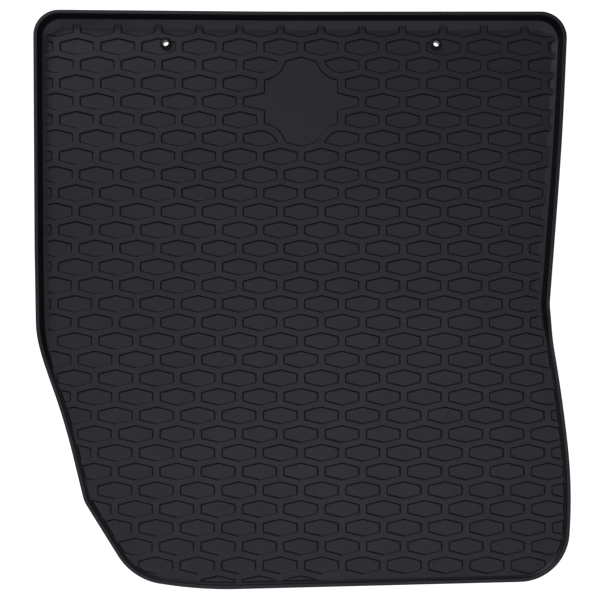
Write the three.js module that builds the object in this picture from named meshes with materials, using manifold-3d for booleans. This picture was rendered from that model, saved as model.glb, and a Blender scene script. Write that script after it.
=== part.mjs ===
// Moulded rubber footwell mat with a raised rim, honeycomb tread pockets and two fixing eyelets.
// Millimetres, +Z up. The mat lies on z = 0, its outline's box is centred on x = 0, y = 0 to within 0.4 mm.
// -Y is the end with the low rim, +Y the end with the two fixing eyelets.

import * as THREE from 'three';
import { LoftGeometry } from 'three/addons/geometries/LoftGeometry.js';
import * as BufferGeometryUtils from 'three/addons/utils/BufferGeometryUtils.js';
import Module from 'manifold-3d';

// ---------------------------------------------------------------- driving dimensions

// Outline of the mat at the top of its rim: corner x, corner y, corner radius.
const OUTLINE = [
	[ - 312.5, 335.9, 29.5 ],
	[ - 29.5, 334, 10000 ],
	[ 309.6, 334.9, 30.5 ],
	[ 301.8, 185.1, 4000 ],
	[ 285.6, - 6.2, 56 ],
	[ 303.6, - 118.1, 1750 ],
	[ 313.7, - 216.7, 560 ],
	[ 306.6, - 325.8, 59.5 ],
	[ - 114.1, - 336, 900 ],
	[ - 195.1, - 324.2, 71 ],
	[ - 251.9, - 234.5, 32 ],
	[ - 275.9, - 139.9, 935 ],
	[ - 305.2, - 61.3, 220 ],
	[ - 308.3, 57.7, 990 ],
];

const FLOOR_Z = 3.2; // pocket floor
const RIB_Z = 5.0; // top of the honeycomb ribs
const RIM_Z_HIGH = 20.0; // rim top round the upper part
const RIM_Z_LOW = 8.5; // rim top round the lower part
const LIP_WIDTH = 4.0; // flat and rounding on top of the rim
const EDGE_ROUND = 0.8;
const MAX_STEP = 90; // longest straight step along the outline
const SAG = 0.15; // most that a chord may cut off a curve
const WALL_DRAFT = 0.13; // inner rim wall, sideways per millimetre of height
const SKIRT_Z_HIGH = 7.0; // where the sloped skirt meets the tall rim wall
const SKIRT_TOP_END = 9.6; // width of the skirt along the top edge
const SKIRT_SIDE = 6.6; // width of the skirt along the sides

// Where the rim drops from tall to low, as y on the left and on the right side.
const DROP_LEFT = [ - 30, - 92 ];
const DROP_RIGHT = [ 2, - 58 ];

// Honeycomb: pointed-top hexagons in staggered rows.
const PITCH_X = 48.0;
const PITCH_Y = 21.65;
const CELL_W = 41.0;
const CELL_H = 19.4;
const CELL_SIDE = 9.7; // the two vertical sides
const PATTERN_X = - 1.28; // centre line of the pattern
const PATTERN_Y = - 5.67; // centre of row 14
const ROW_FIRST = - 1;
const ROW_LAST = 29;
const COLS_ROW_LAST = [ - 2, - 1, 0 ]; // the last row keeps three cells only

// Plain panel in the pattern, centred on row 3.
const PANEL_ARC = 30.1;
const NEIGHBOUR_ARC = 22.6;
const ARC_CENTRE_Y = 12.9; // above the centre of the neighbour cell

// Fixing eyelets.
const HOLE_X = 159.2; // either side of the pattern's centre line
const HOLE_Y = 300.8;
const BORE_R = 3.4;
const BARREL_R = 5.0;
const MAT_HOLE_R = 5.4;
const FLANGE_R = 6.8;
const SEAT_R = 7.4;
const FLANGE_Z = [ 3.5, 5.5 ];
const COLLAR_R = 4.6; // raised collar round the bore
const COLLAR_Z = 8.0;
const RING_R = 6.8;
const RING_INNER_R = 5.3;
const RING_Z = [ 0.1, 0.9 ];
const RECESS_R = 7.2;
const RECESS_Z = 1.2;
const ROUND_SEGMENTS = 28;

// ---------------------------------------------------------------- helpers

const wasm = await Module();
wasm.setup();

function toSolid( geometry ) {

	const bare = new THREE.BufferGeometry();
	bare.setAttribute( 'position', geometry.getAttribute( 'position' ).clone() );
	if ( geometry.index ) bare.setIndex( geometry.index.clone() );
	const g = BufferGeometryUtils.mergeVertices( bare, 1e-5 );
	const index = g.index.array;
	const tri = [];
	for ( let i = 0; i < index.length; i += 3 ) {

		const a = index[ i ], b = index[ i + 1 ], c = index[ i + 2 ];
		if ( a !== b && b !== c && c !== a ) tri.push( a, b, c );

	}

	return new wasm.Manifold( new wasm.Mesh( {
		numProp: 3,
		vertProperties: new Float32Array( g.attributes.position.array ),
		triVerts: new Uint32Array( tri ),
	} ) );

}

function toGeometry( solid ) {

	const m = solid.getMesh();
	const g = new THREE.BufferGeometry();
	const p = new Float32Array( m.numVert * 3 );
	for ( let i = 0; i < m.numVert; i ++ ) for ( let k = 0; k < 3; k ++ ) p[ 3 * i + k ] = m.vertProperties[ m.numProp * i + k ];
	g.setAttribute( 'position', new THREE.BufferAttribute( p, 3 ) );
	g.setIndex( new THREE.BufferAttribute( new Uint32Array( m.triVerts ), 1 ) );
	g.computeVertexNormals();
	return g;

}

function prism( points, z0, z1 ) {

	const g = new THREE.ExtrudeGeometry( new THREE.Shape( points ), { depth: z1 - z0, bevelEnabled: false } );
	g.translate( 0, 0, z0 );
	return g;

}

function disc( radius, z0, z1, x, y ) {

	const g = new THREE.CylinderGeometry( radius, radius, z1 - z0, ROUND_SEGMENTS );
	g.rotateX( Math.PI / 2 );
	g.translate( x, y, ( z0 + z1 ) / 2 );
	return g;

}

const smooth = ( t ) => {

	const u = Math.min( Math.max( t, 0 ), 1 );
	return u * u * ( 3 - 2 * u );

};

// Rounded polygon, counterclockwise. A step is short where the rim changes height.
function roundedOutline( corners, maxAngle ) {

	const ccw = corners.slice().reverse();
	const raw = [];
	const n = ccw.length;
	for ( let i = 0; i < n; i ++ ) {

		const a = new THREE.Vector2( ...ccw[ ( i + n - 1 ) % n ] );
		const b = new THREE.Vector2( ...ccw[ i ] );
		const c = new THREE.Vector2( ...ccw[ ( i + 1 ) % n ] );
		const u = a.clone().sub( b ), w = c.clone().sub( b );
		const lu = u.length(), lw = w.length();
		u.normalize();
		w.normalize();
		const half = Math.acos( THREE.MathUtils.clamp( u.dot( w ), - 1, 1 ) ) / 2;
		let t = ccw[ i ][ 2 ] / Math.tan( half );
		t = Math.min( t, 0.499 * Math.min( lu, lw ) );
		const r = t * Math.tan( half );
		const centre = b.clone().addScaledVector( u.clone().add( w ).normalize(), r / Math.sin( half ) );
		const p1 = b.clone().addScaledVector( u, t ).sub( centre );
		const p2 = b.clone().addScaledVector( w, t ).sub( centre );
		const a1 = p1.angle();
		let d = p2.angle() - a1;
		if ( d > Math.PI ) d -= 2 * Math.PI;
		if ( d < - Math.PI ) d += 2 * Math.PI;
		const stepAngle = Math.min( maxAngle, 2 * Math.acos( Math.max( 0, 1 - SAG / r ) ) );
		const steps = Math.max( 1, Math.ceil( Math.abs( d ) / stepAngle ) );
		for ( let k = 0; k <= steps; k ++ ) {

			const q = a1 + d * k / steps;
			raw.push( new THREE.Vector2( centre.x + r * Math.cos( q ), centre.y + r * Math.sin( q ) ) );

		}

	}

	const out = [];
	for ( let i = 0; i < raw.length; i ++ ) {

		const p = raw[ i ], q = raw[ ( i + 1 ) % raw.length ];
		const len = p.distanceTo( q );
		if ( len < 0.5 ) continue;
		const [ y0, y1 ] = p.x < 0 ? DROP_LEFT : DROP_RIGHT;
		const cuts = [ 0, 1 ];
		for ( let k = 0; k <= 6; k ++ ) {

			const t = ( y0 + ( y1 - y0 ) * k / 6 - p.y ) / ( q.y - p.y );
			if ( t * len > 2 && ( 1 - t ) * len > 2 && Math.abs( q.y - p.y ) > 1 ) cuts.push( t );

		}

		cuts.sort( ( a, b ) => a - b );
		for ( let k = 0; k + 1 < cuts.length; k ++ ) {

			const a = cuts[ k ], b = cuts[ k + 1 ];
			const steps = Math.ceil( ( b - a ) * len / MAX_STEP );
			for ( let j = 0; j < steps; j ++ ) out.push( p.clone().lerp( q, a + ( b - a ) * j / steps ) );

		}

	}

	return out;

}

// ---------------------------------------------------------------- the tray: sheet, rim and skirt

const line = roundedOutline( OUTLINE, THREE.MathUtils.degToRad( 11 ) );
const count = line.length;
const inward = line.map( ( p, i ) => {

	const a = line[ ( i + count - 1 ) % count ], b = line[ ( i + 1 ) % count ];
	const u = p.clone().sub( a ).normalize(), w = b.clone().sub( p ).normalize();
	const t = u.add( w ).normalize();
	return new THREE.Vector2( - t.y, t.x );

} );

// 1 where the rim is tall, 0 where it is low
const tall = line.map( ( p ) => {

	const [ y0, y1 ] = p.x < 0 ? DROP_LEFT : DROP_RIGHT;
	return 1 - smooth( ( y0 - p.y ) / ( y0 - y1 ) );

} );

const rimTop = tall.map( ( k ) => RIM_Z_LOW + ( RIM_Z_HIGH - RIM_Z_LOW ) * k );
const skirtTop = tall.map( ( k ) => FLOOR_Z + 0.4 + ( SKIRT_Z_HIGH - FLOOR_Z - 0.4 ) * k );
const wallFoot = line.map( ( p, i ) => LIP_WIDTH + WALL_DRAFT * ( rimTop[ i ] - skirtTop[ i ] ) );
const skirtFoot = line.map( ( p, i ) => {

	const upper = smooth( ( p.y - 300 ) / 34 );
	const wide = SKIRT_SIDE + ( SKIRT_TOP_END - SKIRT_SIDE ) * upper;
	return wallFoot[ i ] + 0.4 + ( wide - 0.4 ) * tall[ i ];

} );

const ring = ( offset, z ) => line.map( ( p, i ) => {

	const o = typeof offset === 'number' ? offset : offset[ i ];
	return new THREE.Vector3( p.x + inward[ i ].x * o, p.y + inward[ i ].y * o, typeof z === 'number' ? z : z[ i ] );

} );

const lower = ( list, by ) => list.map( ( v ) => v - by );
const centre = ( z ) => line.map( () => new THREE.Vector3( 0, 0, z ) );

// The loft runs from the middle of the underside, round the rim, to the middle of the floor.
const trayGeometry = new LoftGeometry( [
	centre( 0 ),
	ring( 0.8, 0 ),
	ring( 0, 0.8 ),
	ring( 0, lower( rimTop, EDGE_ROUND ) ),
	ring( EDGE_ROUND, rimTop ),
	ring( LIP_WIDTH - EDGE_ROUND, rimTop ),
	ring( LIP_WIDTH, lower( rimTop, EDGE_ROUND ) ),
	ring( wallFoot, skirtTop ),
	ring( skirtFoot, FLOOR_Z ),
	centre( FLOOR_Z ),
], { closed: true } );

let mat = toSolid( trayGeometry );

// ---------------------------------------------------------------- honeycomb ribs

const hw = CELL_W / 2, hh = CELL_H / 2, hs = CELL_SIDE / 2;

function rowY( row ) {

	return PATTERN_Y - ( row - 14 ) * PITCH_Y;

}

function hexagon( x, y ) {

	return [ [ 0, hh ], [ - hw, hs ], [ - hw, - hs ], [ 0, - hh ], [ hw, - hs ], [ hw, hs ] ]
		.map( ( [ a, b ] ) => new THREE.Vector2( x + a, y + b ) );

}

// distance inwards from the outline, and the index of the nearest station
function depthAt( x, y ) {

	let best = Infinity, at = 0;
	for ( let i = 0; i < count; i ++ ) {

		const a = line[ i ], b = line[ ( i + 1 ) % count ];
		const dx = b.x - a.x, dy = b.y - a.y;
		const t = THREE.MathUtils.clamp( ( ( x - a.x ) * dx + ( y - a.y ) * dy ) / ( dx * dx + dy * dy ), 0, 1 );
		const d = Math.hypot( x - a.x - t * dx, y - a.y - t * dy );
		if ( d < Math.abs( best ) ) {

			const side = dx * ( y - a.y ) - dy * ( x - a.x );
			best = side >= 0 ? d : - d;
			at = t < 0.5 ? i : ( i + 1 ) % count;

		}

	}

	return [ best, at ];

}

// share of a cell that lies inside the foot of the rim
function openShare( x, y ) {

	let inside = 0, all = 0;
	for ( let i = - 4; i <= 4; i ++ ) for ( let j = - 2; j <= 2; j ++ ) {

		const [ d, at ] = depthAt( x + i * hw / 4.4, y + j * hh / 3 );
		all ++;
		if ( d > wallFoot[ at ] + 0.8 + 0.45 * ( skirtFoot[ at ] - wallFoot[ at ] ) ) inside ++;

	}

	return inside / all;

}

// arc points round one corner of the panel; sx, sy pick the quadrant
function arc( cx, cy, r, from, to, steps ) {

	const out = [];
	for ( let k = 0; k <= steps; k ++ ) {

		const q = from + ( to - from ) * k / steps;
		out.push( new THREE.Vector2( cx + r * Math.cos( q ), cy + r * Math.sin( q ) ) );

	}

	return out;

}

const panelX = PATTERN_X, panelY = rowY( 3 );

// outline of the plain panel's first quadrant, from its top point to its right end
const arcX = PITCH_X, arcY = 2 * PITCH_Y + ARC_CENTRE_Y;
const quadrant = [
	new THREE.Vector2( 0, 2 * PITCH_Y + hh ),
	...arc( arcX, arcY, PANEL_ARC, Math.atan2( 48.5 - arcY, 18.9 - arcX ) + 2 * Math.PI, Math.atan2( 26.4 - arcY, 43.9 - arcX ) + 2 * Math.PI, 5 ),
	new THREE.Vector2( 43.9, 11.0 ),
	new THREE.Vector2( PITCH_X + hw, hs ),
];
const flipY = ( list ) => list.map( ( p ) => new THREE.Vector2( p.x, - p.y ) ).reverse();
const flipX = ( list ) => list.map( ( p ) => new THREE.Vector2( - p.x, p.y ) ).reverse();
const rightHalf = [ ...quadrant, ...flipY( quadrant ) ];
const panel = [ ...rightHalf, ...flipX( rightHalf ).slice( 1, - 1 ) ]
	.map( ( p ) => new THREE.Vector2( p.x + panelX, p.y + panelY ) );

// neighbour cell with one corner rounded concentric with the panel's corner
function neighbour( sx, sy ) {

	const x0 = - hw, y0 = ARC_CENTRE_Y - Math.sqrt( NEIGHBOUR_ARC ** 2 - hw ** 2 );
	const local = [
		new THREE.Vector2( 0, hh ),
		new THREE.Vector2( - hw, hs ),
		...arc( 0, ARC_CENTRE_Y, NEIGHBOUR_ARC, Math.atan2( y0 - ARC_CENTRE_Y, x0 ) + 2 * Math.PI, 1.5 * Math.PI, 5 ),
		new THREE.Vector2( hw, - hs ),
		new THREE.Vector2( hw, hs ),
	];
	const cx = panelX + sx * PITCH_X, cy = panelY + sy * 2 * PITCH_Y;
	return local.map( ( p ) => new THREE.Vector2( cx + sx * p.x, cy + sy * p.y ) );

}

const PANEL_CELLS = new Set( [ '1:0', '2:-0.5', '2:0.5', '3:-1', '3:0', '3:1', '4:-0.5', '4:0.5', '5:0' ] );
const NEIGHBOURS = { '1:-1': [ - 1, 1 ], '1:1': [ 1, 1 ], '5:-1': [ - 1, - 1 ], '5:1': [ 1, - 1 ] };

const cutters = [ prism( panel, FLOOR_Z - 1, RIB_Z + 1 ) ];
for ( let row = ROW_FIRST; row <= ROW_LAST; row ++ ) {

	const odd = Math.abs( row ) % 2 === 1;
	for ( let c = - 7; c <= 7; c ++ ) {

		const col = odd ? c : c + 0.5;
		const key = `${ row }:${ col }`;
		const x = PATTERN_X + col * PITCH_X, y = rowY( row );
		if ( PANEL_CELLS.has( key ) ) continue;
		if ( row === ROW_LAST && ! COLS_ROW_LAST.includes( col ) ) continue;
		if ( openShare( x, y ) < ( row === ROW_LAST ? 0.01 : 0.1 ) ) continue;
		const outline = NEIGHBOURS[ key ] ? neighbour( ...NEIGHBOURS[ key ] ) : hexagon( x, y );
		cutters.push( prism( outline, FLOOR_Z - 1, RIB_Z + 1 ) );

	}

}

// The rib plate ends inside the rim, so the ribs run out into the skirt.
const plate = toSolid( prism( ring( 2.4, 0 ).map( ( v ) => new THREE.Vector2( v.x, v.y ) ), 2.0, RIB_Z ) );
const pockets = toSolid( BufferGeometryUtils.mergeGeometries( cutters ) );
mat = mat.add( plate.subtract( pockets ) );

// ---------------------------------------------------------------- fixing holes

const holes = [ [ 'left', PATTERN_X - HOLE_X ], [ 'right', PATTERN_X + HOLE_X ] ];
for ( const [ , x ] of holes ) {

	mat = mat.subtract( toSolid( disc( SEAT_R, FLOOR_Z, RIB_Z + 4, x, HOLE_Y ) ) );
	mat = mat.subtract( toSolid( disc( MAT_HOLE_R, - 1, RIB_Z + 4, x, HOLE_Y ) ) );
	mat = mat.subtract( toSolid( disc( RECESS_R, - 1, RECESS_Z, x, HOLE_Y ) ) );

}

// ---------------------------------------------------------------- nodes

const group = new THREE.Group();

function node( name, geometry, color, roughness ) {

	const mesh = new THREE.Mesh( geometry, new THREE.MeshStandardMaterial( { color, roughness, metalness: 0 } ) );
	mesh.name = name;
	group.add( mesh );
	return mesh;

}

node( 'mat_moulding', toGeometry( mat ), 0x2f2f34, 0.62 );

const v2 = ( x, y ) => new THREE.Vector2( x, y );

for ( const [ side, x ] of holes ) {

	// flanged barrel with a raised collar: closed profile from the bore out, radius against height
	const barrel = new THREE.LatheGeometry( [
		v2( BORE_R, RING_Z[ 0 ] ), v2( BARREL_R, RING_Z[ 0 ] ), v2( BARREL_R, FLANGE_Z[ 0 ] ),
		v2( FLANGE_R, FLANGE_Z[ 0 ] ), v2( FLANGE_R, FLANGE_Z[ 0 ] + 0.7 ), v2( FLANGE_R - 0.9, FLANGE_Z[ 1 ] ),
		v2( COLLAR_R, FLANGE_Z[ 1 ] ), v2( COLLAR_R, COLLAR_Z - 0.4 ), v2( COLLAR_R - 0.4, COLLAR_Z ),
		v2( BORE_R + 0.3, COLLAR_Z ), v2( BORE_R, COLLAR_Z - 0.3 ), v2( BORE_R, RING_Z[ 0 ] ),
	], ROUND_SEGMENTS );
	barrel.rotateX( Math.PI / 2 );
	const eyelet = node( `eyelet_${ side }`, toGeometry( toSolid( barrel ) ), 0x1f1f23, 0.5 );
	eyelet.position.set( x, HOLE_Y, 0 );

	const washer = new THREE.LatheGeometry( [
		v2( RING_INNER_R, RING_Z[ 0 ] ), v2( RING_R, RING_Z[ 0 ] ), v2( RING_R, RING_Z[ 1 ] ),
		v2( RING_INNER_R, RING_Z[ 1 ] ), v2( RING_INNER_R, RING_Z[ 0 ] ),
	], ROUND_SEGMENTS );
	washer.rotateX( Math.PI / 2 );
	const lock = node( `lock_ring_${ side }`, toGeometry( toSolid( washer ) ), 0x1f1f23, 0.5 );
	lock.position.set( x, HOLE_Y, 0 );

}

export default group;
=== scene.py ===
import math
import bpy
import numpy as np
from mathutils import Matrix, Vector
from mathutils.geometry import delaunay_2d_cdt


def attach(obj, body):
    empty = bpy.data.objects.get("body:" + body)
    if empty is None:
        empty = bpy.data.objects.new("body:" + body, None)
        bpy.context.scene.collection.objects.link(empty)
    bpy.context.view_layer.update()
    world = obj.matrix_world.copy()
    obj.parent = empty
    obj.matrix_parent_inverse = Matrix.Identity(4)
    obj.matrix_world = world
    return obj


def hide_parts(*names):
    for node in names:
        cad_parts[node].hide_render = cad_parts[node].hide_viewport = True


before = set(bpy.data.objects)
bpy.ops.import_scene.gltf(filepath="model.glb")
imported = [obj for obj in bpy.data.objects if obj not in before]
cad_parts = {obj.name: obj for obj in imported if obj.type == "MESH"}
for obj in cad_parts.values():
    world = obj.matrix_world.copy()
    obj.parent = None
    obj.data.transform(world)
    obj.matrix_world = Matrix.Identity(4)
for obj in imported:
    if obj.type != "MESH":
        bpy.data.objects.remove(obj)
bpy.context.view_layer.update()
MM = 0.001

# ------------------------------------------------------------------ dimensions, mm
# The same driving dimensions as the CAD model. The part's origin is the frame's.
OUTLINE = [
    (-312.5, 335.9, 29.5), (-29.5, 334.0, 10000.0), (309.6, 334.9, 30.5), (301.8, 185.1, 4000.0),
    (285.6, -6.2, 56.0), (303.6, -118.1, 1750.0), (313.7, -216.7, 560.0), (306.6, -325.8, 59.5),
    (-114.1, -336.0, 900.0), (-195.1, -324.2, 71.0), (-251.9, -234.5, 32.0), (-275.9, -139.9, 935.0),
    (-305.2, -61.3, 220.0), (-308.3, 57.7, 990.0),
]
FLOOR_Z, RIB_Z = 3.2, 5.0
RIM_Z_HIGH, RIM_Z_LOW = 20.0, 8.5
LIP_HIGH, LIP_LOW = 4.5, 4.7
WALL_FOOT_HIGH, WALL_FOOT_LOW = 5.8, 6.7  # foot of the inner wall, from the outline
SKIRT_Z_HIGH = 7.0
SKIRT_TOP_END, SKIRT_SIDE = 10.8, 6.8
DROP_LEFT, DROP_RIGHT = (-30.0, -92.0), (2.0, -58.0)
PITCH_X, PITCH_Y = 48.0, 21.65
CELL_W, CELL_H, CELL_SIDE = 41.0, 19.4, 9.7
PATTERN_X, PATTERN_Y = -1.28, -5.67
HW, HH, HS = 20.5, 10.6, 5.6  # the pocket's mouth; its drafted walls narrow it to the CAD cell's size lower down
PANEL_ARC, NEIGHBOUR_ARC, ARC_CENTRE_Y = 30.1, 22.6, 12.9
HOLE_X, HOLE_Y = 159.2, 300.8
BORE_R, BARREL_R, MAT_HOLE_R = 3.4, 5.0, 5.4
FLANGE_R, SEAT_R = 6.8, 7.4
COLLAR_R, COLLAR_Z = 4.6, 8.0
RECESS_R, RECESS_Z = 7.2, 1.2
HOLES = [("left", PATTERN_X - HOLE_X), ("right", PATTERN_X + HOLE_X)]


def smoothstep(t):
    t = np.clip(t, 0.0, 1.0)
    return t * t * (3 - 2 * t)


def smax(a, b, k):
    h = np.clip(0.5 + 0.5 * (a - b) / k, 0.0, 1.0)
    return b * (1 - h) + a * h + k * h * (1 - h)


def rounded(corners, step_angle, sag, max_step):
    """Rounded polygon from (x, y, radius) corners, as an N x 2 array, in the corners' order."""
    pts, n = [], len(corners)
    for i in range(n):
        a, b, c = (np.array(corners[j % n][:2], float) for j in (i - 1, i, i + 1))
        u, w = a - b, c - b
        lu, lw = np.linalg.norm(u), np.linalg.norm(w)
        u, w = u / lu, w / lw
        half = math.acos(max(-1.0, min(1.0, float(u @ w)))) / 2
        t = min(corners[i][2] / math.tan(half), 0.499 * min(lu, lw))
        r = t * math.tan(half)
        centre = b + (u + w) / np.linalg.norm(u + w) * (r / math.sin(half))
        p1, p2 = b + u * t - centre, b + w * t - centre
        a1 = math.atan2(p1[1], p1[0])
        d = (math.atan2(p2[1], p2[0]) - a1 + math.pi) % (2 * math.pi) - math.pi
        sa = min(step_angle, 2 * math.acos(max(0.0, 1 - sag / r)))
        steps = max(1, math.ceil(abs(d) / sa))
        for k in range(steps + 1):
            q = a1 + d * k / steps
            pts.append(centre + r * np.array([math.cos(q), math.sin(q)]))
    out = []
    for i, p in enumerate(pts):
        q = pts[(i + 1) % len(pts)]
        length = np.linalg.norm(q - p)
        if length < 0.02:
            continue
        steps = math.ceil(length / max_step)
        for k in range(steps):
            out.append(p + (q - p) * k / steps)
    return np.array(out)


def inward_normals(line):
    """Unit normals to the left of a closed line, which is inwards when it runs counterclockwise."""
    u = line - np.roll(line, 1, 0)
    w = np.roll(line, -1, 0) - line
    u /= np.linalg.norm(u, axis=1)[:, None]
    w /= np.linalg.norm(w, axis=1)[:, None]
    t = u + w
    t /= np.linalg.norm(t, axis=1)[:, None]
    return np.stack([-t[:, 1], t[:, 0]], 1)


# ------------------------------------------------------------------ rim stations
line = rounded(OUTLINE[::-1], math.radians(4), 0.02, 6.0)
normal = inward_normals(line)
M = len(line)
drop0 = np.where(line[:, 0] < 0, DROP_LEFT[0], DROP_RIGHT[0])
drop1 = np.where(line[:, 0] < 0, DROP_LEFT[1], DROP_RIGHT[1])
tall = 1 - smoothstep((drop0 - line[:, 1]) / (drop0 - drop1))
rim_top = RIM_Z_LOW + (RIM_Z_HIGH - RIM_Z_LOW) * tall
top_end = smoothstep((line[:, 1] - 300) / 34)
skirt_w = SKIRT_SIDE + (SKIRT_TOP_END - SKIRT_SIDE) * top_end

# the wall's foot: where the steep inner wall ends
foot_high = 6.9 + 0.8 * top_end  # the skirt starts higher along the top edge than along the sides
foot_z = 5.4 + (foot_high - 5.4) * tall
LIP = LIP_LOW + (LIP_HIGH - LIP_LOW) * tall
foot_o = WALL_FOOT_LOW + (WALL_FOOT_HIGH - WALL_FOOT_LOW) * tall

# rings inside the foot, as (offset from the foot, height), low rim and tall rim
N_IN = 14
low_o = np.array([0.0, 0.14, 0.32, 0.50, 0.66, 0.80, 1.10, 1.45, 1.8, 2.2, 2.6, 3.0, 3.4, 3.8])
low_z = np.array([5.4, 5.02, 4.52, 4.02, 3.72, 3.56, 3.42, 3.30, 3.2, 3.1, 3.0, 3.0, 3.0, 3.0])
u = np.linspace(0, 1, N_IN - 3)
tall_o = np.concatenate([[0.0, 0.22, 0.60], 1.15 + u * 1.0])  # the last part is scaled by the skirt's width
side_z = np.concatenate([[6.9, 6.25, 5.95], 5.72 + u * (2.95 - 5.72)])
end_z = np.concatenate([[7.7, 7.05, 6.76], 6.52 + u * (2.9 - 6.52)])
in_o = np.zeros((N_IN, M))
in_z = np.zeros((N_IN, M))
for j in range(N_IN):
    to = tall_o[j] if j < 3 else 1.15 + (skirt_w + 0.4 - 1.15) * u[j - 3]
    in_o[j] = foot_o + low_o[j] + (to - low_o[j]) * tall
    in_z[j] = low_z[j] + (side_z[j] + (end_z[j] - side_z[j]) * top_end - low_z[j]) * tall


def ring(offset, z):
    o = np.broadcast_to(offset, (M,))
    return np.column_stack([line + normal * o[:, None], np.broadcast_to(z, (M,))])


# ------------------------------------------------------------------ pattern
E_RINGS = np.array([0.0, 0.11, 0.26, 0.90, 1.54, 1.92])
Z_RINGS = np.array([5.0, 4.96, 4.83, 4.09, 3.35, 3.20])
CORNER_R = 2.05


def row_y(row):
    return PATTERN_Y - (row - 14) * PITCH_Y


def depth_line(points):
    """Signed distance inwards from the outline, nearest station and the share towards the next one."""
    a, b = line, np.roll(line, -1, 0)
    ab = b - a
    l2 = (ab**2).sum(1)
    dist = np.empty(len(points))
    at = np.empty(len(points), int)
    share = np.empty(len(points))
    for s in range(0, len(points), 4000):
        p = points[s : s + 4000]
        ap = p[:, None] - a[None]
        t = np.clip((ap * ab[None]).sum(2) / l2, 0, 1)
        d2 = ((ap - t[..., None] * ab[None]) ** 2).sum(2)
        j = d2.argmin(1)
        i = np.arange(len(p))
        side = ab[j, 0] * ap[i, j, 1] - ab[j, 1] * ap[i, j, 0]
        dist[s : s + 4000] = np.sqrt(d2[i, j]) * np.where(side >= 0, 1, -1)
        at[s : s + 4000] = j
        share[s : s + 4000] = t[i, j]
    return dist, at, share


def skirt_height(points):
    """Height of the rim's inner foot and skirt, and distance past the foot."""
    d, j, t = depth_line(points)
    k = (j + 1) % M
    o = in_o[:, j] * (1 - t) + in_o[:, k] * t
    z = in_z[:, j] * (1 - t) + in_z[:, k] * t
    q = np.full(len(points), -10.0)
    inside = d <= o[-1]
    seg = np.clip((d[None] >= o).sum(0) - 1, 0, N_IN - 2)
    i = np.arange(len(points))
    f = np.clip((d - o[seg, i]) / (o[seg + 1, i] - o[seg, i]), 0, 1)
    q[inside] = (z[seg, i] * (1 - f) + z[seg + 1, i] * f)[inside]
    return q, d - o[0]


def polygon_depth(points, poly):
    """Signed distance inwards from a closed counterclockwise polyline."""
    a, b = poly, np.roll(poly, -1, 0)
    ab = b - a
    ap = points[:, None] - a[None]
    t = np.clip((ap * ab[None]).sum(2) / (ab**2).sum(1), 0, 1)
    d = np.sqrt(((ap - t[..., None] * ab[None]) ** 2).sum(2)).min(1)
    x, y = points[:, 0][:, None], points[:, 1][:, None]
    cross = ((a[None, :, 1] > y) != (b[None, :, 1] > y)) & (
        x < (b[None, :, 0] - a[None, :, 0]) * (y - a[None, :, 1]) / (b[None, :, 1] - a[None, :, 1] + 1e-12) + a[None, :, 0]
    )
    inside = cross.sum(1) % 2 == 1
    return np.where(inside, d, -d)


HEX = np.array([(0, HH), (-HW, HS), (-HW, -HS), (0, -HH), (HW, -HS), (HW, HS)], float)  # counterclockwise
HEX_T = np.roll(HEX, -1, 0) - HEX
HEX_T /= np.linalg.norm(HEX_T, axis=1)[:, None]
HEX_N = np.stack([-HEX_T[:, 1], HEX_T[:, 0]], 1)  # inwards


def hex_inset(m):
    """Corners of the hexagon moved in by m on every side."""
    out = []
    for i in range(6):
        n1, n2 = HEX_N[i - 1], HEX_N[i]
        p1, p2 = HEX[i - 1] + n1 * m, HEX[i] + n2 * m
        out.append(np.linalg.solve(np.array([n1, n2]), np.array([n1 @ p1, n2 @ p2])))
    return np.array(out)


HEX_CORE = hex_inset(CORNER_R)


def hex_depth(local):
    """Signed depth inside a hexagon with rounded corners, for points relative to its centre."""
    a, b = HEX_CORE, np.roll(HEX_CORE, -1, 0)
    ab = b - a
    ap = local[:, None] - a[None]
    t = np.clip((ap * ab[None]).sum(2) / (ab**2).sum(1), 0, 1)
    d = np.sqrt(((ap - t[..., None] * ab[None]) ** 2).sum(2)).min(1)
    inside = ((ap * HEX_N[None]).sum(2) >= 0).all(1)
    return np.where(inside, CORNER_R + d, CORNER_R - d)


def hex_ring(e, arc_steps=3):
    core, r = (HEX_CORE, CORNER_R - e) if e < CORNER_R - 0.05 else (hex_inset(e), 0.0)
    out = []
    for i in range(6):
        if r <= 0:
            out.append(core[i])
            continue
        a1 = math.atan2(-HEX_N[i - 1][1], -HEX_N[i - 1][0])
        a2 = math.atan2(-HEX_N[i][1], -HEX_N[i][0])
        d = (a2 - a1 + math.pi) % (2 * math.pi) - math.pi
        for k in range(arc_steps + 1):
            q = a1 + d * k / arc_steps
            out.append(core[i] + r * np.array([math.cos(q), math.sin(q)]))
    return np.array(out)


def arc(cx, cy, r, a0, a1, steps):
    return [(cx + r * math.cos(a0 + (a1 - a0) * k / steps), cy + r * math.sin(a0 + (a1 - a0) * k / steps)) for k in range(steps + 1)]


# plain panel: nine cells run together, with rounded re-entrant corners
ax, ay = PITCH_X, 2 * PITCH_Y + ARC_CENTRE_Y
quad = [(0.0, 2 * PITCH_Y + HH, 1.3)]
a0 = math.atan2(48.5 - ay, 18.9 - ax) + 2 * math.pi
a1 = math.atan2(26.4 - ay, 43.9 - ax) + 2 * math.pi
arc_pts = arc(ax, ay, PANEL_ARC, a0, a1, 8)
quad += [(*arc_pts[0], 1.3)] + [(*p, 60.0) for p in arc_pts[1:-1]] + [(*arc_pts[-1], 1.3)]
quad += [(43.9, 11.0, 1.0), (PITCH_X + HW, HS, 1.3)]
right = quad + [(x, -y, r) for x, y, r in reversed(quad)]
left = [(-x, y, r) for x, y, r in reversed(right)][1:-1]
panel_corners = [(x + PATTERN_X, y + row_y(3), r) for x, y, r in right + left]
PANEL = rounded(panel_corners[::-1], math.radians(22), 0.05, 6.0)


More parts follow.
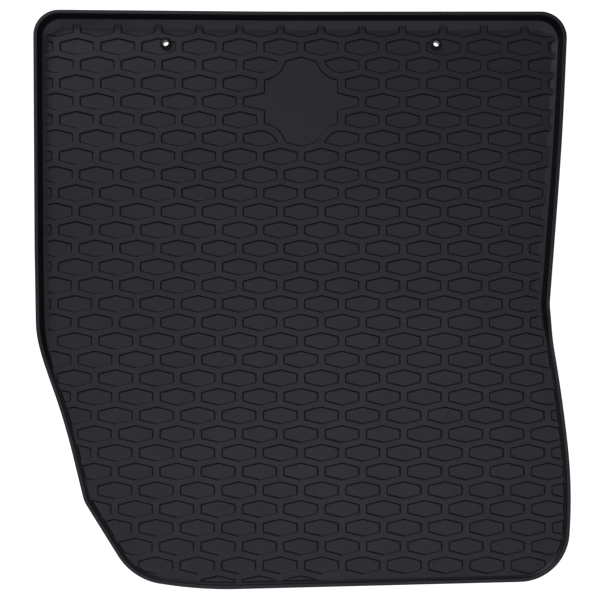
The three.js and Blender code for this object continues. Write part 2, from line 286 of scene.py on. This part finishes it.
def neighbour_corners(sx, sy):
    y0 = ARC_CENTRE_Y - math.sqrt(NEIGHBOUR_ARC**2 - HW**2)
    pts = [(0.0, HH, 1.3), (-HW, HS, 1.0)]
    arcs = arc(0, ARC_CENTRE_Y, NEIGHBOUR_ARC, math.atan2(y0 - ARC_CENTRE_Y, -HW) + 2 * math.pi, 1.5 * math.pi, 7)
    pts += [(*arcs[0], 0.7)] + [(*p, 50.0) for p in arcs[1:-1]] + [(*arcs[-1], 1.3)]
    pts += [(HW, -HS, 1.3), (HW, HS, 1.3)]
    cx, cy = PATTERN_X + sx * PITCH_X, row_y(3) + sy * 2 * PITCH_Y
    out = [(cx + sx * x, cy + sy * y, r) for x, y, r in pts]
    return out if sx * sy > 0 else out[::-1]


PANEL_CELLS = {(1, 0), (2, -0.5), (2, 0.5), (3, -1), (3, 0), (3, 1), (4, -0.5), (4, 0.5), (5, 0)}
NEIGHBOURS = {(1, -1): (-1, 1), (1, 1): (1, 1), (5, -1): (-1, -1), (5, 1): (1, -1)}
SPECIAL = [PANEL] + [rounded(neighbour_corners(*s), math.radians(22), 0.05, 6.0) for s in NEIGHBOURS.values()]

cells = []
grid = np.array([(i * HW / 4.4, j * HH / 3) for i in range(-4, 5) for j in range(-2, 3)])
for row in range(-1, 30):
    for c in range(-7, 8):
        col = c if row % 2 else c + 0.5
        if (row, col) in PANEL_CELLS or (row, col) in NEIGHBOURS:
            continue
        if row == 29 and col not in (-2, -1, 0):
            continue
        centre = np.array([PATTERN_X + col * PITCH_X, row_y(row)])
        d, j, t = depth_line(grid + centre)
        share = (d > foot_o[j] + 0.8 + 0.45 * (in_o[-1][j] - foot_o[j] - 0.9) * tall[j]).mean()
        if share >= (0.01 if row == 29 else 0.1):
            cells.append((row, col, centre[0], centre[1], share))
CELL_SET = {(r, c): (x, y) for r, c, x, y, _ in cells}


def pocket_depth(points):
    """How far inside a pocket's outline each point lies; 0 or less on the ribs."""
    e = np.full(len(points), -1.0)
    v = 14 - (points[:, 1] - PATTERN_Y) / PITCH_Y
    for base in (np.floor(v).astype(int), np.floor(v).astype(int) + 1):
        uu = (points[:, 0] - PATTERN_X) / PITCH_X
        col = np.where(base % 2 == 1, np.round(uu), np.floor(uu) + 0.5)
        ok = np.array([(int(r), float(c)) in CELL_KEYS for r, c in zip(base, col)])
        local = points - np.column_stack([PATTERN_X + col * PITCH_X, PATTERN_Y - (base - 14) * PITCH_Y])
        h = hex_depth(local)
        e = np.where(ok, np.maximum(e, h), e)
    for poly in SPECIAL:
        lo, hi = poly.min(0), poly.max(0)
        m = ((points > lo) & (points < hi)).all(1)
        if m.any():
            e[m] = np.maximum(e[m], polygon_depth(points[m], poly))
    for _, hx in HOLES:
        r = np.hypot(points[:, 0] - hx, points[:, 1] - HOLE_Y)
        e = np.maximum(e, SEAT_R - r)
    return e


CELL_KEYS = {(int(r), float(c)) for r, c in CELL_SET}


def tread_height(points):
    p = np.interp(pocket_depth(points), E_RINGS, Z_RINGS)
    q, _ = skirt_height(points)
    return np.where(q > -5, smax(p, q, 0.28), p)


# ------------------------------------------------------------------ mesh building
class Builder:
    def __init__(self):
        self.v, self.f, self.n = [], [], 0

    def add(self, pts):
        pts = np.asarray(pts, float)
        start = self.n
        self.v.append(pts)
        self.n += len(pts)
        return np.arange(start, self.n)

    def strip(self, a, b):
        """Quads between two closed loops of equal length."""
        a2, b2 = np.roll(a, -1), np.roll(b, -1)
        self.f.extend(np.column_stack([a, a2, b2, b]).tolist())

    def faces(self, tris):
        self.f.extend(tris.tolist())

    def mesh(self, name):
        v = np.concatenate(self.v) * MM
        me = bpy.data.meshes.new(name)
        me.from_pydata(v.tolist(), [], self.f)
        me.validate()
        me.update()
        return me


def cdt(loops, keep):
    """Constrained triangulation of closed and open polylines. keep(centroids) picks the triangles."""
    pts, edges, n = [], [], 0
    for loop, closed in loops:
        k = len(loop)
        pts.append(loop)
        idx = np.arange(n, n + k)
        e = np.column_stack([idx, np.roll(idx, -1)])
        edges.append(e if closed else e[:-1])
        n += k
    pts = np.concatenate(pts)
    edges = np.concatenate(edges)
    out = delaunay_2d_cdt([Vector((float(x), float(y))) for x, y in pts], edges.tolist(), [], 0, 1e-6)
    verts = np.array([tuple(p) for p in out[0]], float)
    tris = np.array([f for f in out[2] if len(f) == 3])
    a, b, c = verts[tris[:, 0]], verts[tris[:, 1]], verts[tris[:, 2]]
    area = (b[:, 0] - a[:, 0]) * (c[:, 1] - a[:, 1]) - (b[:, 1] - a[:, 1]) * (c[:, 0] - a[:, 0])
    tris[area < 0] = tris[area < 0][:, ::-1]
    tris = tris[np.abs(area) > 1e-9]
    cen = verts[tris].mean(1)
    tris = tris[keep(cen)]
    return verts, tris, out[3]


def in_polygon(points, poly):
    a, b = poly, np.roll(poly, -1, 0)
    inside = np.zeros(len(points), bool)
    for s in range(0, len(points), 8000):
        x, y = points[s : s + 8000, 0][:, None], points[s : s + 8000, 1][:, None]
        cross = ((a[None, :, 1] > y) != (b[None, :, 1] > y)) & (
            x < (b[None, :, 0] - a[None, :, 0]) * (y - a[None, :, 1]) / (b[None, :, 1] - a[None, :, 1] + 1e-15) + a[None, :, 0]
        )
        inside[s : s + 8000] = cross.sum(1) % 2 == 1
    return inside


def subdivide(loop, step):
    out = []
    for i, p in enumerate(loop):
        q = loop[(i + 1) % len(loop)]
        k = max(1, math.ceil(np.linalg.norm(q - p) / step))
        out += [p + (q - p) * j / k for j in range(k)]
    return np.array(out)


def circle(x, y, r, n):
    q = np.arange(n) * 2 * math.pi / n
    return np.column_stack([x + r * np.cos(q), y + r * np.sin(q)])


B = Builder()
SEG = 64

# outer strip, from the underside's edge over the rim to the foot of the inner wall
outer = [
    (1.5, 0.0), (0.85, 0.12), (0.35, 0.45), (0.06, 1.0), (0.0, 1.7),
]
rings = [B.add(ring(o, z)) for o, z in outer]
under_ring = rings[0]
H = rim_top
soft = 0.9 * (1 - tall)  # the low rim's inner edge is rounder
for share in (0.34, 0.67):
    rings.append(B.add(ring(0.0, 1.7 + (H - 1.0 - 1.7) * share)))
for o, dz in ((0.0, 1.0), (0.05, 0.62), (0.20, 0.28), (0.48, 0.07), (0.85, 0.0), (LIP - 0.80 - soft, 0.0), (LIP - 0.45 - 0.6 * soft, 0.06 + 0.1 * soft), (LIP - 0.18 - 0.28 * soft, 0.26 + 0.24 * soft), (LIP - 0.04 - 0.08 * soft, 0.55 + 0.45 * soft), (LIP, 0.9 + 0.8 * soft)):
    rings.append(B.add(ring(o, H - dz)))
for share in (0.33, 0.67):
    o = LIP + (foot_o - LIP) * share
    rings.append(B.add(ring(o, (H - 0.9 - 0.8 * soft) + (foot_z - (H - 0.9 - 0.8 * soft)) * share)))
foot = ring(foot_o, foot_z)
foot_idx = B.add(foot)
rings.append(foot_idx)
for a, b in zip(rings, rings[1:]):
    B.strip(a, b)

# tread
loops = [(foot[:, :2], True)]
for j in range(1, N_IN):
    r = ring(in_o[j], 0)[:, :2]
    loops.append((r, True))
templates = [hex_ring(e) for e in E_RINGS]


def add_contour(poly, cut):
    """A pocket's contour; near the rim only the stretch inside the foot is kept."""
    if not cut:
        loops.append((poly, True))
        return
    fine = subdivide(poly, 1.8)
    _, past = skirt_height(fine)
    ok = past > 0.10
    if ok.all():
        loops.append((fine, True))
        return
    if not ok.any():
        return
    start = int(np.argmin(ok))
    fine, ok = np.roll(fine, -start, 0), np.roll(ok, -start)
    run = []
    for p, k in zip(fine, ok):
        if k:
            run.append(p)
        elif run:
            if len(run) > 1:
                loops.append((np.array(run), False))
            run = []
    if len(run) > 1:
        loops.append((np.array(run), False))


for row, col, x, y, share in cells:
    centre = np.array([x, y])
    d, j, t = depth_line(templates[0][::3] + centre)
    near = bool((d < in_o[-1][j] + 1.0).any())
    for tpl in templates:
        add_contour(tpl + centre, near)
for poly in SPECIAL:
    n = inward_normals(poly)
    for e in E_RINGS:
        loops.append((poly + n * e, True))
for _, hx in HOLES:
    for e in E_RINGS:
        loops.append((circle(hx, HOLE_Y, SEAT_R - e, SEG), True))
    loops.append((circle(hx, HOLE_Y, MAT_HOLE_R + 0.3, SEG), True))
    loops.append((circle(hx, HOLE_Y, MAT_HOLE_R, SEG), True))

foot_poly = foot[:, :2]


def keep_top(cen):
    m = in_polygon(cen, foot_poly)
    for _, hx in HOLES:
        m &= np.hypot(cen[:, 0] - hx, cen[:, 1] - HOLE_Y) > MAT_HOLE_R * math.cos(math.pi / SEG) - 0.002
    return m


verts, tris, orig = cdt(loops, keep_top)
z = tread_height(verts)
used = np.zeros(len(verts), bool)
used[tris.ravel()] = True
index = np.full(len(verts), -1)
hole_top = {hx: np.full(SEG, -1) for _, hx in HOLES}
# loop starts, to find the input vertices of the foot and of the holes in the output
starts, s = [], 0
for l, _ in loops:
    starts.append(s)
    s += len(l)
hole_loop = {hx: starts[-1 - (len(E_RINGS) + 2) * (len(HOLES) - 1 - k)] for k, (_, hx) in enumerate(HOLES)}
fresh = []
for i, src in enumerate(orig):
    if not used[i]:
        continue
    for q in src:
        if q < M:
            index[i] = foot_idx[q]
    if index[i] < 0:
        fresh.append(i)
fresh = np.array(fresh)
index[fresh] = B.add(np.column_stack([verts[fresh], z[fresh]]))
for i, src in enumerate(orig):
    if used[i]:
        for q in src:
            for hx, base in hole_loop.items():
                if base <= q < base + SEG:
                    hole_top[hx][q - base] = index[i]
B.faces(index[tris])

# underside, with the recesses round the holes
under_poly = line + normal * 1.5
loops_u = [(under_poly, True)]
for _, hx in HOLES:
    loops_u.append((circle(hx, HOLE_Y, RECESS_R + 0.3, SEG), True))


def keep_under(cen):
    m = in_polygon(cen, under_poly)
    for _, hx in HOLES:
        m &= np.hypot(cen[:, 0] - hx, cen[:, 1] - HOLE_Y) > (RECESS_R + 0.3) * math.cos(math.pi / SEG) - 0.002
    return m


uv, ut, uo = cdt(loops_u, keep_under)
uindex = np.full(len(uv), -1)
recess = {hx: np.full(SEG, -1) for _, hx in HOLES}
rbase = {hx: M + k * SEG for k, (_, hx) in enumerate(HOLES)}
for i, src in enumerate(uo):
    for q in src:
        if q < M:
            uindex[i] = under_ring[q]
rest = np.where(uindex < 0)[0]
uindex[rest] = B.add(np.column_stack([uv[rest], np.zeros(len(rest))]))
for i, src in enumerate(uo):
    for q in src:
        for hx, base in rbase.items():
            if base <= q < base + SEG:
                recess[hx][q - base] = uindex[i]
B.faces(uindex[ut][:, ::-1])

for _, hx in HOLES:
    c = lambda r, zz: B.add(np.column_stack([circle(hx, HOLE_Y, r, SEG), np.full(SEG, zz)]))
    chain = [recess[hx], c(RECESS_R, 0.3), c(RECESS_R, RECESS_Z - 0.2), c(RECESS_R - 0.2, RECESS_Z), c(MAT_HOLE_R + 0.15, RECESS_Z), c(MAT_HOLE_R, RECESS_Z + 0.15), c(MAT_HOLE_R, 2.6)]
    chain.append(hole_top[hx])
    for a, b in zip(chain, chain[1:]):
        B.strip(a, b)
    assert (hole_top[hx] >= 0).all() and (recess[hx] >= 0).all()

me = B.mesh("mat")

def weighted_normals(me):
    """Smooth shading with vertex normals weighted by face area, so flats stay flat beside fine roundings."""
    nv = len(me.vertices)
    co = np.empty(nv * 3)
    me.vertices.foreach_get("co", co)
    co = co.reshape(-1, 3)
    me.calc_loop_triangles()
    nt = len(me.loop_triangles)
    t = np.empty(nt * 3, int)
    me.loop_triangles.foreach_get("vertices", t)
    t = t.reshape(-1, 3)
    fn = np.cross(co[t[:, 1]] - co[t[:, 0]], co[t[:, 2]] - co[t[:, 0]])
    vn = np.zeros((nv, 3))
    for k in range(3):
        np.add.at(vn, t[:, k], fn)
    vn /= np.linalg.norm(vn, axis=1)[:, None] + 1e-20
    me.polygons.foreach_set("use_smooth", [True] * len(me.polygons))
    me.normals_split_custom_set_from_vertices(vn.tolist())


weighted_normals(me)
mat_obj = bpy.data.objects.new("mat", me)
bpy.context.scene.collection.objects.link(mat_obj)


# ------------------------------------------------------------------ eyelets
def lathe(name, profile, x, y, seg=72):
    """Closed ring from a closed (radius, height) profile."""
    prof = np.array(profile, float)
    k = len(prof)
    q = np.arange(seg) * 2 * math.pi / seg
    v = np.array([(x + r * math.cos(a), y + r * math.sin(a), h) for a in q for r, h in prof]) * MM
    f = []
    for i in range(seg):
        for j in range(k):
            a, b = i * k + j, i * k + (j + 1) % k
            c, d = ((i + 1) % seg) * k + (j + 1) % k, ((i + 1) % seg) * k + j
            f.append((a, d, c, b))
    m = bpy.data.meshes.new(name)
    m.from_pydata(v.tolist(), [], f)
    m.validate()
    weighted_normals(m)
    o = bpy.data.objects.new(name, m)
    bpy.context.scene.collection.objects.link(o)
    return o


def rounded_profile(corners, step=math.radians(15)):
    return [tuple(p) for p in rounded(corners, step, 0.01, 3.0)]


made = []
for side, hx in HOLES:
    flange = rounded_profile([
        (BORE_R, 0.1, 0.2), (BARREL_R, 0.1, 0.2), (BARREL_R, 3.5, 0.15), (FLANGE_R, 3.5, 0.15),
        (FLANGE_R, 4.75, 0.7), (FLANGE_R - 1.15, 5.5, 0.9), (COLLAR_R, 5.5, 0.35), (COLLAR_R, COLLAR_Z, 0.45), (BORE_R, COLLAR_Z, 0.5),
    ])
    ring_p = rounded_profile([(5.3, 0.1, 0.15), (6.8, 0.1, 0.25), (6.8, 0.9, 0.2), (5.3, 0.9, 0.15)])
    a = lathe(f"eyelet_{side}_detail", flange, hx, HOLE_Y)
    b = lathe(f"lock_ring_{side}_detail", ring_p, hx, HOLE_Y)
    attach(a, "root"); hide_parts(f"eyelet_{side}")
    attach(b, "root"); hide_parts(f"lock_ring_{side}")
    made += [a, b]

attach(mat_obj, "root"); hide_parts("mat_moulding")


# ------------------------------------------------------------------ materials
def new_material(name):
    m = bpy.data.materials.new(name)
    m.use_nodes = True
    nt = m.node_tree
    nt.nodes.clear()
    out = nt.nodes.new("ShaderNodeOutputMaterial")
    bsdf = nt.nodes.new("ShaderNodeBsdfPrincipled")
    nt.links.new(bsdf.outputs[0], out.inputs[0])
    return m, nt, bsdf


def rubber():
    m, nt, bsdf = new_material("moulded_rubber")
    N, L = nt.nodes, nt.links
    tc = N.new("ShaderNodeTexCoord")
    big = N.new("ShaderNodeTexNoise")
    big.inputs["Scale"].default_value = 9.0
    big.inputs["Detail"].default_value = 4.0
    L.new(tc.outputs["Object"], big.inputs["Vector"])
    ramp = N.new("ShaderNodeValToRGB")
    ramp.color_ramp.elements[0].position = 0.35
    ramp.color_ramp.elements[0].color = (0.0115, 0.0115, 0.0135, 1)
    ramp.color_ramp.elements[1].position = 0.70
    ramp.color_ramp.elements[1].color = (0.0150, 0.0150, 0.0175, 1)
    L.new(big.outputs["Fac"], ramp.inputs[0])
    L.new(ramp.outputs[0], bsdf.inputs["Base Color"])
    fine = N.new("ShaderNodeTexNoise")
    fine.inputs["Scale"].default_value = 1500.0
    fine.inputs["Detail"].default_value = 3.0
    L.new(tc.outputs["Object"], fine.inputs["Vector"])
    mid = N.new("ShaderNodeTexNoise")
    mid.inputs["Scale"].default_value = 60.0
    mid.inputs["Detail"].default_value = 3.0
    L.new(tc.outputs["Object"], mid.inputs["Vector"])
    rr = N.new("ShaderNodeMapRange")
    rr.inputs["To Min"].default_value = 0.40
    rr.inputs["To Max"].default_value = 0.50
    L.new(mid.outputs["Fac"], rr.inputs["Value"])
    L.new(rr.outputs[0], bsdf.inputs["Roughness"])
    bump = N.new("ShaderNodeBump")
    bump.inputs["Strength"].default_value = 0.25
    bump.inputs["Distance"].default_value = 0.00012
    L.new(fine.outputs["Fac"], bump.inputs["Height"])
    L.new(bump.outputs[0], bsdf.inputs["Normal"])
    return m


def plastic():
    m, nt, bsdf = new_material("eyelet_plastic")
    N, L = nt.nodes, nt.links
    tc = N.new("ShaderNodeTexCoord")
    n = N.new("ShaderNodeTexNoise")
    n.inputs["Scale"].default_value = 900.0
    L.new(tc.outputs["Object"], n.inputs["Vector"])
    rr = N.new("ShaderNodeMapRange")
    rr.inputs["To Min"].default_value = 0.34
    rr.inputs["To Max"].default_value = 0.5
    L.new(n.outputs["Fac"], rr.inputs["Value"])
    L.new(rr.outputs[0], bsdf.inputs["Roughness"])
    ramp = N.new("ShaderNodeValToRGB")
    bsdf.inputs["Specular IOR Level"].default_value = 0.3
    ramp.color_ramp.elements[0].color = (0.008, 0.008, 0.009, 1)
    ramp.color_ramp.elements[1].color = (0.012, 0.012, 0.013, 1)
    L.new(n.outputs["Fac"], ramp.inputs[0])
    L.new(ramp.outputs[0], bsdf.inputs["Base Color"])
    return m


RUBBER, PLASTIC = rubber(), plastic()
mat_obj.data.materials.append(RUBBER)
for o in made:
    o.data.materials.append(PLASTIC)

# ------------------------------------------------------------------ stage, light, camera
fm = bpy.data.meshes.new("floor")
S = 6.0
fm.from_pydata([(-S, -S, -0.0003), (S, -S, -0.0003), (S, S, -0.0003), (-S, S, -0.0003)], [], [(0, 1, 2, 3)])
floor = bpy.data.objects.new("floor", fm)
bpy.context.scene.collection.objects.link(floor)
m, nt, bsdf = new_material("pale_floor")
bsdf.inputs["Base Color"].default_value = (0.9, 0.9, 0.9, 1)
bsdf.inputs["Roughness"].default_value = 0.9
bsdf.inputs["Emission Color"].default_value = (1, 1, 1, 1)
bsdf.inputs["Emission Strength"].default_value = 0.92
fm.materials.append(m)


def area(name, loc, target, sx, sy, power):
    d = bpy.data.lights.new(name, "AREA")
    d.shape = "RECTANGLE"
    d.size, d.size_y = sx, sy
    d.energy = power
    d.color = (0.93, 0.94, 1.08)
    o = bpy.data.objects.new(name, d)
    o.location = loc
    o.rotation_euler = (Vector(target) - Vector(loc)).to_track_quat("-Z", "Y").to_euler()
    bpy.context.scene.collection.objects.link(o)
    return o


area("key", (-1.35, 2.1, 1.75), (0, 0, 0), 1.0, 1.0, 21)
area("overhead", (0.0, -0.05, 2.4), (0, -0.05, 0), 2.8, 2.7, 13.3)
area("overhead_rear", (0.0, -0.85, 2.35), (0, -0.85, 0), 2.4, 1.3, 5.4)
area("fill_right", (1.9, -0.5, 0.95), (0, 0, 0), 1.2, 1.2, 1.6)

world = bpy.data.worlds.new("world")
world.use_nodes = True
world.node_tree.nodes["Background"].inputs[0].default_value = (1, 1, 1, 1)
world.node_tree.nodes["Background"].inputs[1].default_value = 0.08
bpy.context.scene.world = world

scene = bpy.context.scene
scene.view_settings.view_transform = "Standard"
scene.view_settings.look = "None"
scene.view_settings.exposure = 0.0
scene.view_settings.gamma = 1.0

cam_data = bpy.data.cameras.new("camera")
cam_data.sensor_width = 36.0
cam_data.lens = 36.0 * 824.0 / 600.0
cam_data.clip_start, cam_data.clip_end = 0.05, 50
cam = bpy.data.objects.new("camera", cam_data)
cam.location = (-6.72 * MM, -27.43 * MM, 967.5 * MM)
cam.rotation_euler = (math.radians(1.569), math.radians(-0.261), math.radians(0.030))
scene.collection.objects.link(cam)
scene.camera = cam

bpy.context.view_layer.update()
